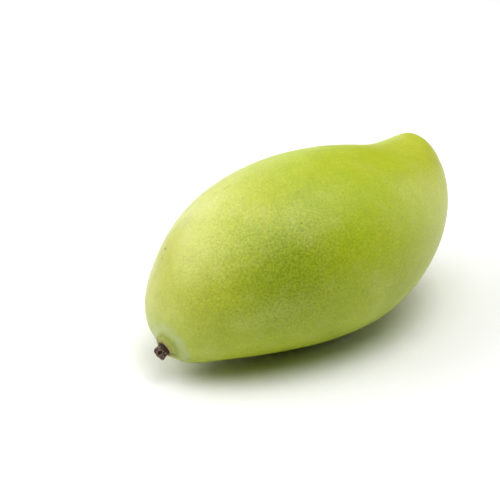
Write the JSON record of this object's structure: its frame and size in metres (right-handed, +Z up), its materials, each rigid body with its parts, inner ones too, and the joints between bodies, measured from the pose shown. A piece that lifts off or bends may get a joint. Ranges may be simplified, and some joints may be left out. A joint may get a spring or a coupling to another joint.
{
  "type": "green mango",
  "caption": "Whole unripe green mango lying on its side, plump at the stem end, with a small beak near the tip and a woody stub of broken stalk",
  "frame": {"origin": "on the surface the mango lies on, under the middle of its bounding box", "axes": "X runs from the stalk to the tip, Y from the rounder back to the straighter belly side, Z up"},
  "size_m": [0.1444, 0.0736, 0.0673],
  "materials": {
    "skin": "waxy yellow-green mango skin with a soft sheen, fine darker dots, and a pale grey bloom near the stalk",
    "wood": "rough dark brown broken stalk with a black sunk pith"
  },
  "bodies": {
    "root": {"fruit": "skin", "stem_stub": "wood"}
  },
  "joints": []
}
